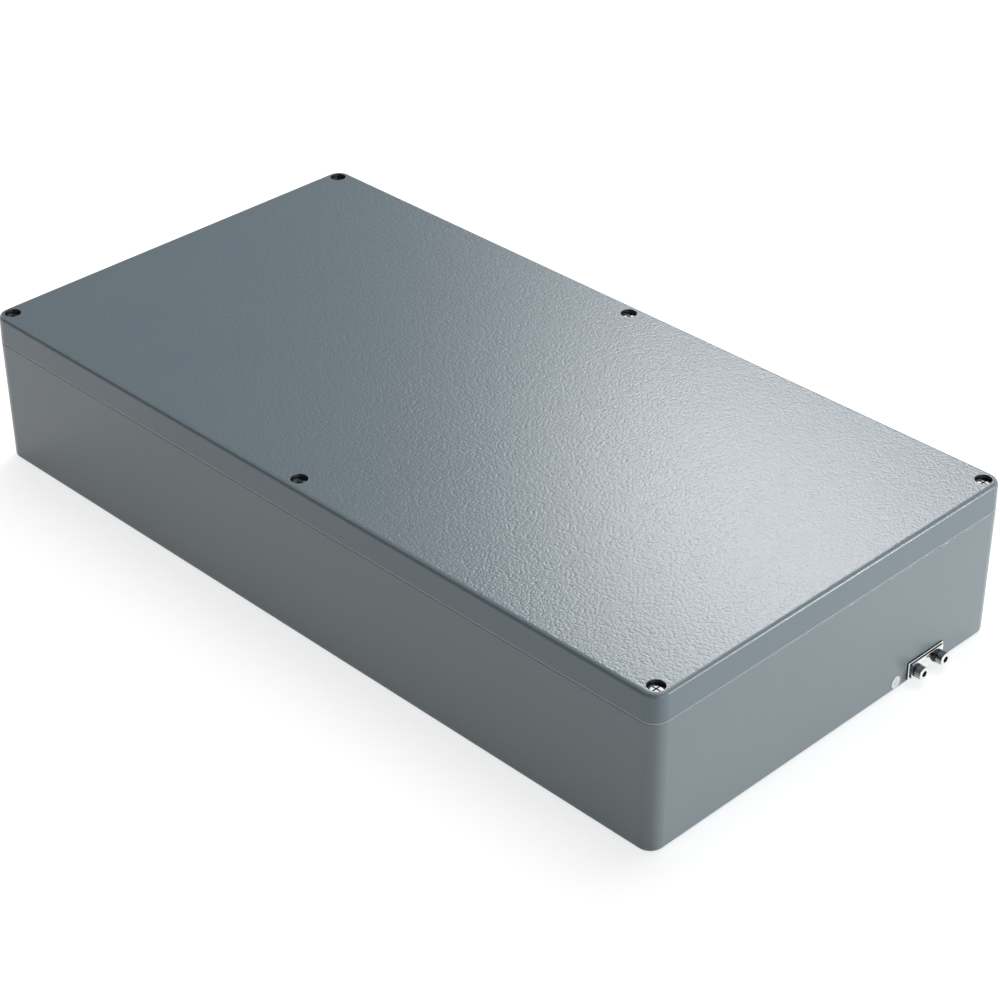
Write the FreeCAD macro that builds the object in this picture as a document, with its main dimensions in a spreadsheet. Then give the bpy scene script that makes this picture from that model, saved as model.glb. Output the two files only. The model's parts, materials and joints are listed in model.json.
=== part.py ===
"""Die cast aluminium box with a screwed lid, a sealing cord and an outside earth terminal.

Frame, in millimetres: the origin is the centre of the underside, +X points to the end wall that
carries the earth terminal, +Z points up through the lid. Outlines and bosses are stated for the
quarter in +X and +Y and repeated in the other three, where the castings are the same.
"""
import FreeCAD, Part
import math
import os

import Sketcher

# Driving dimensions, in millimetres and degrees.
SIZES = {
    # Outside of the closed box
    "length_x": 600,
    "width_y": 310,
    "base_height": 89.9,
    "lid_height": 20.1,
    "corner_radius": 10.5,
    "bottom_edge_radius": 3,
    "lid_edge_radius": 3,
    "base_rim_radius": 0.4,
    "lid_rim_radius": 0.6,
    "base_draft": 0.48,
    "lid_draft": 1.14,
    # Walls and cores of the two castings
    "wall": 6.5,
    "floor_thickness": 5,
    "lid_plate": 5,
    "core_draft": 0.5,
    "core_fillet": 2,
    "blend_radius": 4.5,
    # Lid screws and the bosses that take them
    "screw_inset_x": 9.4,
    "screw_inset_y": 10,
    "boss_reach": 10,
    "boss_nose": 6,
    "thread_diameter": 5,
    "thread_play": 0.2,
    "screw_thread_length": 11,
    "screw_thread_start": 1,
    "tapped_depth": 16,
    "screw_waist": 4,
    "screw_head": 9.5,
    "screw_head_height": 3.5,
    "screw_head_round": 0.35,
    "screw_pocket": 11,
    "screw_sunk": 2.3,
    "lid_hole": 5.5,
    "cross_span": 5.8,
    "cross_arm": 1,
    "cross_depth": 1.8,
    # Rings that keep the lid screws captive
    "ring_pocket": 9,
    "ring_pocket_depth": 1.8,
    "ring_thickness": 1.2,
    "ring_play": 0.3,
    # Wall fixing holes in the corner blocks
    "fixing_inset_x": 27,
    "fixing_inset_y": 10.5,
    "fixing_hole": 6.5,
    "fixing_channel": 12,
    "fixing_seat": 8,
    "block_web": 5,
    "block_nose": 7,
    # Seal: tongue on the base, cord in the groove of the lid
    "tongue_inside": 1.5,
    "tongue_width": 1.6,
    "tongue_height": 1.4,
    "groove_inside": 0.5,
    "groove_width": 3.6,
    "groove_depth": 3.6,
    "groove_lip": 2.5,
    "cord_play": 0.1,
    # Bosses on the floor for a mounting plate
    "plate_boss_inset": 50,
    "plate_boss": 14,
    "plate_boss_height": 10,
    "plate_thread": 6,
    "plate_thread_depth": 11,
    "boss_draft": 2,
    # Outside earth terminal on the end wall
    "terminal_y": 89.6,
    "terminal_z": 8.3,
    "terminal_pitch": 20.8,
    "terminal_rise": 1,
    "back_plate_length": 33.7,
    "back_plate_height": 12.4,
    "back_plate_thickness": 1.5,
    "clamp_plate_length": 30.4,
    "clamp_plate_height": 11,
    "clamp_plate_thickness": 1.2,
    "plate_corner": 0.8,
    "contact_depth": 0.85,
    "contact_margin": 0.4,
    "terminal_block_length": 42,
    "terminal_block_height": 13,
    "terminal_block_depth": 10,
    # Earth screws and washers
    "earth_screw_length": 15,
    "earth_screw_play": 0.2,
    "earth_hole_depth": 13,
    "socket_head": 8.5,
    "socket_head_height": 5,
    "socket_head_chamfer": 0.5,
    "socket_width": 4,
    "socket_depth": 2.5,
    "washer_outside": 8.7,
    "washer_inside": 5.3,
    "washer_thickness": 1.2,
    "washer_slit": 0.9,
    # Inside earth terminal on a floor boss
    "inner_earth_inset_x": 38,
    "inner_earth_y": 60,
    "inner_clamp": 13,
    "inner_clamp_thickness": 2,
    "inner_screw_length": 13,
    # Disc with the earth sign beside the outside terminal
    "disc_y": 62,
    "disc_z": 6.9,
    "disc_diameter": 8.2,
    "disc_thickness": 0.4,
}

# How near two coordinates must be to count as the same, in millimetres.
NEAR = 0.01

doc = FreeCAD.newDocument("DieCastBox")
sheet = doc.addObject("Spreadsheet::Sheet", "Sizes")
for row, (alias, number) in enumerate(SIZES.items(), start=1):
    sheet.set(f"A{row}", alias)
    sheet.set(f"B{row}", str(number))
    sheet.setAlias(f"B{row}", alias)
doc.recompute()

# Expressions that several pieces share.
HALF_X = "(Sizes.length_x / 2)"
HALF_Y = "(Sizes.width_y / 2)"
TOP_Z = "(Sizes.base_height + Sizes.lid_height)"
SCREW_X = f"({HALF_X} - Sizes.screw_inset_x)"
SCREW_Y = f"({HALF_Y} - Sizes.screw_inset_y)"
FIXING_X = f"({HALF_X} - Sizes.fixing_inset_x)"
FIXING_Y = f"({HALF_Y} - Sizes.fixing_inset_y)"
SCREW_SEAT = f"({TOP_Z} - Sizes.screw_sunk - Sizes.screw_head_height)"
THREAD = "(Sizes.thread_diameter - Sizes.thread_play)"
EARTH_THREAD = "(Sizes.thread_diameter - Sizes.earth_screw_play)"
PLATE_BOSS_TOP = "(Sizes.floor_thickness + Sizes.plate_boss_height)"
PLATE_BOSS_X = f"({HALF_X} - Sizes.plate_boss_inset)"
PLATE_BOSS_Y = f"({HALF_Y} - Sizes.plate_boss_inset)"
INNER_EARTH_X = f"({HALF_X} - Sizes.inner_earth_inset_x)"
CONTACT_X = f"({HALF_X} - Sizes.contact_depth)"
CLAMP_X = f"({CONTACT_X} + Sizes.back_plate_thickness)"
WASHER_X = f"({CLAMP_X} + Sizes.clamp_plate_thickness)"
HEAD_X = f"({WASHER_X} + Sizes.washer_thickness)"

# The lid screws, counted round the lid from the corner nearest +X and -Y.
SCREW_PLACES = [
    (SCREW_X, f"-{SCREW_Y}"),
    (SCREW_X, SCREW_Y),
    ("0", SCREW_Y),
    (f"-{SCREW_X}", SCREW_Y),
    (f"-{SCREW_X}", f"-{SCREW_Y}"),
    ("0", f"-{SCREW_Y}"),
]


def value(expression):
    """The number that an expression over the sheet gives."""
    return float(sheet.evalExpression(expression))


def plane(body, role):
    """The body's own origin plane with this role."""
    for feature in body.Origin.OriginFeatures:
        if feature.Role == role:
            return feature
    raise ValueError(role)


def new_body(label):
    body = doc.addObject("PartDesign::Body", label)
    body.Label = label
    return body


def new_sketch(body, name, offset="0", role="XY_Plane"):
    """An empty sketch on one of the body's planes, moved along the plane's normal."""
    sketch = body.newObject("Sketcher::SketchObject", f"{body.Label}_{name}")
    sketch.AttachmentSupport = (plane(body, role), [""])
    sketch.MapMode = "FlatFace"
    sketch.setExpression("AttachmentOffset.Base.z", offset)
    return sketch


def tie(sketch, kind, references, expression, name):
    """Add a dimension to a sketch and bind it to an expression."""
    index = sketch.addConstraint(Sketcher.Constraint(kind, *references, value(expression)))
    sketch.renameConstraint(index, name)
    sketch.setExpression(f"Constraints.{name}", expression)


def round_corner(before, point, after):
    """Where an outline arrives at a corner and leaves it, and the quarter arc between the two."""
    x, y, radius = point
    corner = FreeCAD.Vector(x, y, 0)
    back = FreeCAD.Vector(before[0] - x, before[1] - y, 0).normalize()
    onward = FreeCAD.Vector(after[0] - x, after[1] - y, 0).normalize()
    arrive = corner + back * radius
    leave = corner + onward * radius
    left_turn = onward.cross(back).z > 0
    if not radius:
        return {"arrive": arrive, "leave": leave, "left_turn": left_turn, "arc": None}
    centre = corner + (back + onward) * radius
    first = (arrive if left_turn else leave) - centre
    start = math.atan2(first.y, first.x)
    circle = Part.Circle(centre, FreeCAD.Vector(0, 0, 1), radius)
    arc = Part.ArcOfCircle(circle, start, start + math.pi / 2)
    return {"arrive": arrive, "leave": leave, "left_turn": left_turn, "arc": arc}


def draw_outline(sketch, corners):
    """Draw a closed outline of level and upright lines.

    Each corner is (x, y, radius): three expressions, with radius None at a sharp corner. Every line
    is tied to its own coordinate and every round corner to its radius.
    """
    points = [(value(x), value(y), value(r) if r else 0.0) for x, y, r in corners]
    count = len(points)
    rounds = [round_corner(points[i - 1], points[i], points[(i + 1) % count]) for i in range(count)]
    lines = []
    for i in range(count):
        line = Part.LineSegment(rounds[i]["leave"], rounds[(i + 1) % count]["arrive"])
        lines.append(sketch.addGeometry(line, False))
    for i, corner in enumerate(rounds):
        if not corner["arc"]:
            sketch.addConstraint(Sketcher.Constraint("Coincident", lines[i - 1], 2, lines[i], 1))
            continue
        arc = sketch.addGeometry(corner["arc"], False)
        arrive_end, leave_end = (1, 2) if corner["left_turn"] else (2, 1)
        sketch.addConstraint(Sketcher.Constraint("Tangent", lines[i - 1], 2, arc, arrive_end))
        sketch.addConstraint(Sketcher.Constraint("Tangent", lines[i], 1, arc, leave_end))
        tie(sketch, "Radius", (arc,), corners[i][2], f"radius_{arc}")
    for i, line in enumerate(lines):
        level = abs(points[i][1] - points[(i + 1) % count][1]) < NEAR
        sketch.addConstraint(Sketcher.Constraint("Horizontal" if level else "Vertical", line))
        place_line(sketch, line, corners[i][1] if level else corners[i][0], level)
    return sketch


def place_line(sketch, line, coordinate, level):
    """Tie a level line to its height, or an upright line to its distance from the Y axis."""
    number = value(coordinate)
    axis = -1 if level else -2
    kind = "DistanceY" if level else "DistanceX"
    if abs(number) < NEAR:
        sketch.addConstraint(Sketcher.Constraint("PointOnObject", line, 1, axis))
    elif number > 0:
        tie(sketch, kind, (-1, 1, line, 1), coordinate, f"place_{line}")
    else:
        tie(sketch, kind, (line, 1, -1, 1), f"-({coordinate})", f"place_{line}")


def draw_circle(sketch, x, y, diameter):
    """Draw a circle tied to its centre and its diameter, all three as expressions."""
    centre = FreeCAD.Vector(value(x), value(y), 0)
    circle = sketch.addGeometry(Part.Circle(centre, FreeCAD.Vector(0, 0, 1), value(diameter) / 2), False)
    tie(sketch, "Diameter", (circle,), diameter, f"diameter_{circle}")
    for kind, axis, number, expression in (("DistanceX", -2, centre.x, x), ("DistanceY", -1, centre.y, y)):
        if abs(number) < NEAR:
            sketch.addConstraint(Sketcher.Constraint("PointOnObject", circle, 3, axis))
        elif number > 0:
            tie(sketch, kind, (-1, 1, circle, 3), expression, f"{kind}_{circle}")
        else:
            tie(sketch, kind, (circle, 3, -1, 1), f"-({expression})", f"{kind}_{circle}")


def extrude(kind, body, sketch, length, reverse=False, taper=None):
    """A Pad or a Pocket of a sketch, with its length tied to an expression."""
    feature = body.newObject(f"PartDesign::{kind}", f"{sketch.Name}_{kind}")
    feature.Profile = sketch
    feature.Reversed = reverse
    feature.setExpression("Length", length)
    if taper:
        feature.setExpression("TaperAngle", taper)
    doc.recompute()
    return feature


def pad(body, sketch, length, reverse=False, taper=None):
    return extrude("Pad", body, sketch, length, reverse, taper)


def pocket(body, sketch, length, reverse=False):
    """A Pocket, checked to have taken material away."""
    before = body.Shape.Volume
    feature = extrude("Pocket", body, sketch, length, reverse)
    if feature.Shape.Volume > before - NEAR:
        raise ValueError(f"{feature.Name} cuts nothing")
    return feature


def faces_where(shape, test):
    return [f"Face{i}" for i, face in enumerate(shape.Faces, start=1) if test(face.BoundBox)]


def edges_where(shape, test):
    return [f"Edge{i}" for i, edge in enumerate(shape.Edges, start=1) if test(edge.BoundBox)]


def level_at(box, height):
    return abs(box.ZMin - height) < NEAR and abs(box.ZMax - height) < NEAR


def draft_walls(body, base, low, high, neutral_height, angle, shrink):
    """Tilt the upright faces between two heights, and check that the volume moves the right way."""
    def upright(box):
        return abs(box.ZMin - low) < NEAR and abs(box.ZMax - high) < NEAR

    def neutral(box):
        return level_at(box, neutral_height)

    feature = body.newObject("PartDesign::Draft", f"{base.Name}_Draft")
    feature.Base = (base, faces_where(base.Shape, upright))
    feature.NeutralPlane = (base, faces_where(base.Shape, neutral)[:1])
    feature.setExpression("Angle", angle)
    for reverse in (False, True):
        feature.Reversed = reverse
        doc.recompute()
        if feature.isValid() and (feature.Shape.Volume < base.Shape.Volume) == shrink:
            return feature
    raise ValueError(f"{feature.Name} tilts the wrong way")


def round_edges(body, base, height, radius):
    """Fillet the level edges at one height."""
    def chosen(box):
        return level_at(box, height)

    feature = body.newObject("PartDesign::Fillet", f"{base.Name}_Fillet")
    feature.Base = (base, edges_where(base.Shape, chosen))
    feature.setExpression("Radius", radius)
    doc.recompute()
    return feature


def all_round(quarter):
    """The corners of a whole outline, from those of its quarter in +X and +Y."""
    corners = []
    for side_x, side_y, order in (("", "", 1), ("-", "", -1), ("-", "-", 1), ("", "-", -1)):
        corners.extend((f"{side_x}{x}", f"{side_y}{y}", radius) for x, y, radius in quarter[::order])
    return corners


def four_places(x, y):
    return [(side_x + x, side_y + y) for side_x in ("", "-") for side_y in ("", "-")]


def core_corners(grow="0"):
    """Corners of the inside outline, moved outward by grow.

    From each end wall it steps round the corner block and the middle boss, so every line of the
    seal comes from this one outline at its own distance.
    """
    wall_x = f"({HALF_X} - Sizes.wall + {grow})"
    wall_y = f"({HALF_Y} - Sizes.wall + {grow})"
    block_x = f"({FIXING_X} - Sizes.fixing_channel / 2 - Sizes.block_web + {grow})"
    block_y = f"({FIXING_Y} - Sizes.fixing_channel / 2 - Sizes.block_web + {grow})"
    boss_x = f"(Sizes.boss_reach - {grow})"
    boss_y = f"({SCREW_Y} - Sizes.boss_reach + {grow})"
    hollow = f"(Sizes.blend_radius + {grow})"
    return all_round([
        (wall_x, block_y, hollow),
        (block_x, block_y, f"(Sizes.block_nose - {grow})"),
        (block_x, wall_y, hollow),
        (boss_x, wall_y, hollow),
        (boss_x, boss_y, f"(Sizes.boss_nose - {grow})"),
    ])


def outside_sketch(body, height="0"):
    """The outside outline as it is at the parting line."""
    corners = all_round([(HALF_X, HALF_Y, "Sizes.corner_radius")])
    return draw_outline(new_sketch(body, "outside", height), corners)


def core_sketch(body, name, height, grow="0"):
    return draw_outline(new_sketch(body, name, height), core_corners(grow))


def circles_sketch(body, name, height, places, diameter):
    sketch = new_sketch(body, name, height)
    for x, y in places:
        draw_circle(sketch, x, y, diameter)
    return sketch


# Lower casting
def build_base():
    body = new_body("base")
    rim = value("Sizes.base_height")
    floor = value("Sizes.floor_thickness")
    block = pad(body, outside_sketch(body), "Sizes.base_height")
    block = draft_walls(body, block, 0, rim, rim, "Sizes.base_draft", shrink=True)
    block = round_edges(body, block, 0, "Sizes.bottom_edge_radius")
    round_edges(body, block, rim, "Sizes.base_rim_radius")
    add_tongue(body)
    core = core_sketch(body, "core", "Sizes.base_height")
    cavity = pocket(body, core, "Sizes.base_height - Sizes.floor_thickness")
    cavity = draft_walls(body, cavity, floor, rim, rim, "Sizes.core_draft", shrink=False)
    round_edges(body, cavity, floor, "Sizes.core_fillet")
    add_plate_bosses(body)
    tapped = circles_sketch(body, "tapped", "Sizes.base_height", SCREW_PLACES, "Sizes.thread_diameter")
    pocket(body, tapped, "Sizes.tapped_depth")
    add_fixing_holes(body)
    add_terminal_block(body)
    add_inner_earth_boss(body)
    return body


def add_tongue(body):
    """The raised tongue that presses into the sealing cord, all the way round."""
    outer = "(Sizes.tongue_inside + Sizes.tongue_width)"
    pad(body, core_sketch(body, "tongue_outer", "Sizes.base_height", outer), "Sizes.tongue_height")
    top = "Sizes.base_height + Sizes.tongue_height"
    pocket(body, core_sketch(body, "tongue_inner", top, "Sizes.tongue_inside"), "Sizes.tongue_height")


def add_plate_bosses(body):
    """Six floor bosses with blind tapped holes: near the corners, and half way along the sides."""
    places = four_places(PLATE_BOSS_X, PLATE_BOSS_Y) + [("0", PLATE_BOSS_Y), ("0", f"-{PLATE_BOSS_Y}")]
    bosses = circles_sketch(body, "plate_bosses", "Sizes.floor_thickness", places, "Sizes.plate_boss")
    pad(body, bosses, "Sizes.plate_boss_height", taper="-Sizes.boss_draft")
    threads = circles_sketch(body, "plate_threads", PLATE_BOSS_TOP, places, "Sizes.plate_thread")
    pocket(body, threads, "Sizes.plate_thread_depth")


def add_fixing_holes(body):
    """The wall fixing holes of the corner blocks, below channels that let their screws drop in."""
    places = four_places(FIXING_X, FIXING_Y)
    channels = circles_sketch(body, "fixing_channels", "Sizes.base_height", places, "Sizes.fixing_channel")
    pocket(body, channels, "Sizes.base_height - Sizes.fixing_seat")
    holes = circles_sketch(body, "fixing_holes", "Sizes.fixing_seat", places, "Sizes.fixing_hole")
    pocket(body, holes, "Sizes.fixing_seat")


def terminal_corners(length, low, high, radius):
    """Corners of a plate or pad of the outside terminal, seen along the X axis."""
    left = f"(Sizes.terminal_y - {length} / 2)"
    right = f"(Sizes.terminal_y + {length} / 2)"
    return [(left, low, radius), (right, low, radius), (right, high, radius), (left, high, radius)]


def terminal_plate_corners(length, height, radius, margin="0"):
    middle = "(Sizes.terminal_z + Sizes.terminal_rise)"
    low = f"({middle} - {height} / 2 - {margin})"
    high = f"({middle} + {height} / 2 + {margin})"
    return terminal_corners(f"({length} + 2 * {margin})", low, high, radius)


def terminal_circles(sketch, diameter):
    for side in ("-", "+"):
        y = f"(Sizes.terminal_y {side} Sizes.terminal_pitch / 2)"
        draw_circle(sketch, y, "Sizes.terminal_z", diameter)


def add_terminal_block(body):
    """Thick metal inside the end wall, the milled contact face outside it and two tapped holes."""
    high = "(Sizes.floor_thickness + Sizes.terminal_block_height)"
    low = "(Sizes.floor_thickness / 2)"
    inside = f"{HALF_X} - Sizes.wall - Sizes.terminal_block_depth"
    block = new_sketch(body, "terminal_block", inside, "YZ_Plane")
    draw_outline(block, terminal_corners("Sizes.terminal_block_length", low, high, None))
    pad(body, block, "Sizes.terminal_block_depth + Sizes.wall / 2")
    face = new_sketch(body, "contact_face", f"{HALF_X} + Sizes.contact_depth", "YZ_Plane")
    corners = terminal_plate_corners("Sizes.back_plate_length", "Sizes.back_plate_height",
                                     "(Sizes.plate_corner + Sizes.contact_margin)", "Sizes.contact_margin")
    draw_outline(face, corners)
    pocket(body, face, "2 * Sizes.contact_depth")
    holes = new_sketch(body, "terminal_threads", CONTACT_X, "YZ_Plane")
    terminal_circles(holes, "Sizes.thread_diameter")
    pocket(body, holes, "Sizes.earth_hole_depth")


def add_inner_earth_boss(body):
    """The floor boss of the inside earth terminal."""
    boss = new_sketch(body, "inner_earth_boss", "Sizes.floor_thickness")
    draw_circle(boss, INNER_EARTH_X, "Sizes.inner_earth_y", "Sizes.plate_boss")
    pad(body, boss, "Sizes.plate_boss_height", taper="-Sizes.boss_draft")
    thread = new_sketch(body, "inner_earth_thread", PLATE_BOSS_TOP)
    draw_circle(thread, INNER_EARTH_X, "Sizes.inner_earth_y", "Sizes.thread_diameter")
    pocket(body, thread, "Sizes.plate_thread_depth")


# Upper casting
def build_lid():
    body = new_body("lid")
    parting = value("Sizes.base_height")
    top = value(TOP_Z)
    ceiling = value(f"{TOP_Z} - Sizes.lid_plate")
    block = pad(body, outside_sketch(body, "Sizes.base_height"), "Sizes.lid_height")
    block = draft_walls(body, block, parting, top, parting, "Sizes.lid_draft", shrink=True)
    block = round_edges(body, block, top, "Sizes.lid_edge_radius")
    round_edges(body, block, parting, "Sizes.lid_rim_radius")
    groove_outside = "(Sizes.groove_inside + Sizes.groove_width)"
    groove = core_sketch(body, "groove", "Sizes.base_height", groove_outside)
    pocket(body, groove, "Sizes.groove_depth", reverse=True)
    pad(body, core_sketch(body, "island", "Sizes.base_height", "Sizes.groove_inside"), "Sizes.groove_depth")
    recess = core_sketch(body, "recess", "Sizes.base_height", "(Sizes.groove_inside - Sizes.groove_lip)")
    hollow = pocket(body, recess, "Sizes.lid_height - Sizes.lid_plate", reverse=True)
    hollow = draft_walls(body, hollow, parting, ceiling, parting, "Sizes.core_draft", shrink=False)
    round_edges(body, hollow, ceiling, "Sizes.core_fillet")
    holes = circles_sketch(body, "screw_holes", TOP_Z, SCREW_PLACES, "Sizes.lid_hole")
    pocket(body, holes, "Sizes.lid_height + Sizes.wall")
    heads = circles_sketch(body, "head_pockets", TOP_Z, SCREW_PLACES, "Sizes.screw_pocket")
    pocket(body, heads, "Sizes.screw_sunk + Sizes.screw_head_height")
    rings = circles_sketch(body, "ring_pockets", "Sizes.base_height", SCREW_PLACES, "Sizes.ring_pocket")
    pocket(body, rings, "Sizes.ring_pocket_depth", reverse=True)
    return body


# Sealing cord in the groove of the lid, resting on the tongue of the base
def build_gasket():
    body = new_body("lid_gasket")
    low = "Sizes.base_height + Sizes.tongue_height"
    thickness = "Sizes.groove_depth - Sizes.tongue_height"
    outer = "(Sizes.groove_inside + Sizes.groove_width - Sizes.cord_play)"
    inner = "(Sizes.groove_inside + Sizes.cord_play)"
    pad(body, core_sketch(body, "outer", low, outer), thickness)
    pocket(body, core_sketch(body, "inner", low, inner), thickness, reverse=True)
    return body


def move_to(item, x, y, z):
    """Tie the place of a sub-part to three expressions."""
    for axis, expression in zip("xyz", (x, y, z)):
        item.setExpression(f"Placement.Base.{axis}", expression)


def turn(body, sketch):
    """Revolve a half profile drawn on the XZ plane round the Z axis."""
    feature = body.newObject("PartDesign::Revolution", f"{sketch.Name}_Revolution")
    feature.Profile = sketch
    feature.ReferenceAxis = (sketch, ["V_Axis"])
    feature.Angle = 360
    doc.recompute()
    return feature


# Captive lid screw: cheese head with a cross recess, thin waist, threaded end
def build_lid_screw(label, x, y):
    body = new_body(label)
    waist_end = f"(-({SCREW_SEAT} - Sizes.base_height + Sizes.screw_thread_start))"
    tip = f"({waist_end} - Sizes.screw_thread_length)"
    head = "Sizes.screw_head_height"
    profile = new_sketch(body, "profile", role="XZ_Plane")
    draw_outline(profile, [
        ("0", tip, None),
        (f"{THREAD} / 2", tip, None),
        (f"{THREAD} / 2", waist_end, None),
        ("Sizes.screw_waist / 2", waist_end, None),
        ("Sizes.screw_waist / 2", "0", None),
        ("Sizes.screw_head / 2", "0", None),
        ("Sizes.screw_head / 2", head, "Sizes.screw_head_round"),
        ("0", head, None),
    ])
    turn(body, profile)
    long_arm = "Sizes.cross_span / 2"
    thin_arm = "Sizes.cross_arm / 2"
    cross = new_sketch(body, "cross", head)
    draw_outline(cross, [
        (long_arm, f"-{thin_arm}", None),
        (long_arm, thin_arm, None),
        (thin_arm, thin_arm, None),
        (thin_arm, long_arm, None),
        (f"-{thin_arm}", long_arm, None),
        (f"-{thin_arm}", thin_arm, None),
        (f"-{long_arm}", thin_arm, None),
        (f"-{long_arm}", f"-{thin_arm}", None),
        (f"-{thin_arm}", f"-{thin_arm}", None),
        (f"-{thin_arm}", f"-{long_arm}", None),
        (thin_arm, f"-{long_arm}", None),
        (thin_arm, f"-{thin_arm}", None),
    ])
    pocket(body, cross, "Sizes.cross_depth")
    move_to(body, x, y, SCREW_SEAT)
    return body


# Ring below the lid that keeps a screw captive on its waist
def build_ring(label, x, y):
    body = new_body(label)
    outline = new_sketch(body, "outline")
    draw_circle(outline, "0", "0", "(Sizes.ring_pocket - Sizes.ring_play)")
    draw_circle(outline, "0", "0", "(Sizes.screw_waist + Sizes.ring_play)")
    pad(body, outline, "Sizes.ring_thickness")
    move_to(body, x, y, "Sizes.base_height + Sizes.ring_pocket_depth - Sizes.ring_thickness")
    return body


def build_lid_fasteners():
    """The screws and the rings that keep them in the lid."""
    for number, (x, y) in enumerate(SCREW_PLACES, start=1):
        yield build_lid_screw(f"lid_screw_{number}", x, y)
        yield build_ring(f"screw_ring_{number}", x, y)


# Flat plates of the outside earth terminal
def build_terminal_plate(label, start_x, thickness, length, height):
    body = new_body(label)
    outline = new_sketch(body, "outline", start_x, "YZ_Plane")
    draw_outline(outline, terminal_plate_corners(length, height, "Sizes.plate_corner"))
    terminal_circles(outline, "Sizes.washer_inside")
    pad(body, outline, thickness)
    return body


def cylinder(name, diameter, height, bottom="0"):
    item = doc.addObject("Part::Cylinder", name)
    item.setExpression("Radius", f"{diameter} / 2")
    item.setExpression("Height", height)
    item.setExpression("Placement.Base.z", bottom)
    return item


# Socket screw of the earth terminals: its local origin is under the head, its shank points down
def build_socket_screw(label, length):
    head = cylinder(f"{label}_head", "Sizes.socket_head", "Sizes.socket_head_height")
    doc.recompute()
    rim = value("Sizes.socket_head_height")
    bevel = doc.addObject("Part::Chamfer", f"{label}_bevel")
    bevel.Base = head
    size = value("Sizes.socket_head_chamfer")
    bevel.Edges = [(i, size, size) for i, edge in enumerate(head.Shape.Edges, start=1)
                   if level_at(edge.BoundBox, rim)]
    shank = cylinder(f"{label}_shank", EARTH_THREAD, length, f"-{length}")
    solid = doc.addObject("Part::Fuse", f"{label}_solid")
    solid.Base = bevel
    solid.Tool = shank
    hexagon = doc.addObject("Part::Prism", f"{label}_hexagon")
    hexagon.Polygon = 6
    hexagon.setExpression("Circumradius", "Sizes.socket_width / sqrt(3)")
    hexagon.setExpression("Height", "Sizes.socket_depth")
    hexagon.setExpression("Placement.Base.z", "Sizes.socket_head_height - Sizes.socket_depth")
    screw = doc.addObject("Part::Cut", label)
    screw.Label = label
    screw.Base = solid
    screw.Tool = hexagon
    return screw


# Split spring washer, lying on its local XY plane
def build_spring_washer(label):
    disc = cylinder(f"{label}_disc", "Sizes.washer_outside", "Sizes.washer_thickness")
    hole = cylinder(f"{label}_hole", "Sizes.washer_inside", "Sizes.washer_thickness")
    ring = doc.addObject("Part::Cut", f"{label}_ring")
    ring.Base = disc
    ring.Tool = hole
    slit = doc.addObject("Part::Box", f"{label}_slit")
    slit.setExpression("Length", "Sizes.washer_outside")
    slit.setExpression("Width", "Sizes.washer_slit")
    slit.setExpression("Height", "Sizes.washer_thickness")
    slit.setExpression("Placement.Base.y", "-Sizes.washer_slit / 2")
    washer = doc.addObject("Part::Cut", label)
    washer.Label = label
    washer.Base = ring
    washer.Tool = slit
    return washer


def build_earth_fasteners():
    """Screws and spring washers of the outside terminal, then of the inside one."""
    outward = FreeCAD.Rotation(FreeCAD.Vector(0, 1, 0), 90)
    for number, side in enumerate(("-", "+"), start=1):
        y = f"Sizes.terminal_y {side} Sizes.terminal_pitch / 2"
        screw = build_socket_screw(f"earth_screw_{number}", "Sizes.earth_screw_length")
        for piece, x in ((screw, HEAD_X),
                         (build_spring_washer(f"earth_spring_washer_{number}"), WASHER_X)):
            piece.Placement = FreeCAD.Placement(FreeCAD.Vector(), outward)
            move_to(piece, x, y, "Sizes.terminal_z")
            yield piece
    washer_z = f"({PLATE_BOSS_TOP} + Sizes.inner_clamp_thickness)"
    screw = build_socket_screw("inner_earth_screw", "Sizes.inner_screw_length")
    for piece, z in ((screw, f"{washer_z} + Sizes.washer_thickness"),
                     (build_spring_washer("inner_earth_spring_washer"), washer_z)):
        move_to(piece, INNER_EARTH_X, "Sizes.inner_earth_y", z)
        yield piece


# Square clamp of the inside earth terminal
def build_inner_clamp():
    body = new_body("inner_earth_clamp")
    half = "Sizes.inner_clamp / 2"
    corner = "Sizes.plate_corner"
    outline = new_sketch(body, "outline")
    draw_outline(outline, [
        (f"-{half}", f"-{half}", corner),
        (half, f"-{half}", corner),
        (half, half, corner),
        (f"-{half}", half, corner),
    ])
    draw_circle(outline, "0", "0", "Sizes.washer_inside")
    pad(body, outline, "Sizes.inner_clamp_thickness")
    move_to(body, INNER_EARTH_X, "Sizes.inner_earth_y", PLATE_BOSS_TOP)
    return body


# Flat disc stuck on the sloping end wall
def build_disc():
    disc = doc.addObject("Part::Cylinder", "earth_sign_disc")
    disc.Label = "earth_sign_disc"
    disc.setExpression("Radius", "Sizes.disc_diameter / 2")
    disc.setExpression("Height", "Sizes.disc_thickness")
    lean = FreeCAD.Rotation(FreeCAD.Vector(0, 1, 0), 90 + value("Sizes.base_draft"))
    disc.Placement = FreeCAD.Placement(FreeCAD.Vector(), lean)
    wall_x = f"{HALF_X} - tan(Sizes.base_draft * 1deg) * (Sizes.base_height - Sizes.disc_z)"
    move_to(disc, wall_x, "Sizes.disc_y", "Sizes.disc_z")
    return disc


parts = [build_base(), build_lid(), build_gasket()]
parts.extend(build_lid_fasteners())
parts.append(build_terminal_plate("earth_back_plate", CONTACT_X, "Sizes.back_plate_thickness",
                                  "Sizes.back_plate_length", "Sizes.back_plate_height"))
parts.append(build_terminal_plate("earth_clamp_plate", CLAMP_X, "Sizes.clamp_plate_thickness",
                                  "Sizes.clamp_plate_length", "Sizes.clamp_plate_height"))
parts.extend(build_earth_fasteners())
parts.append(build_inner_clamp())
parts.append(build_disc())
doc.recompute()

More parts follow.
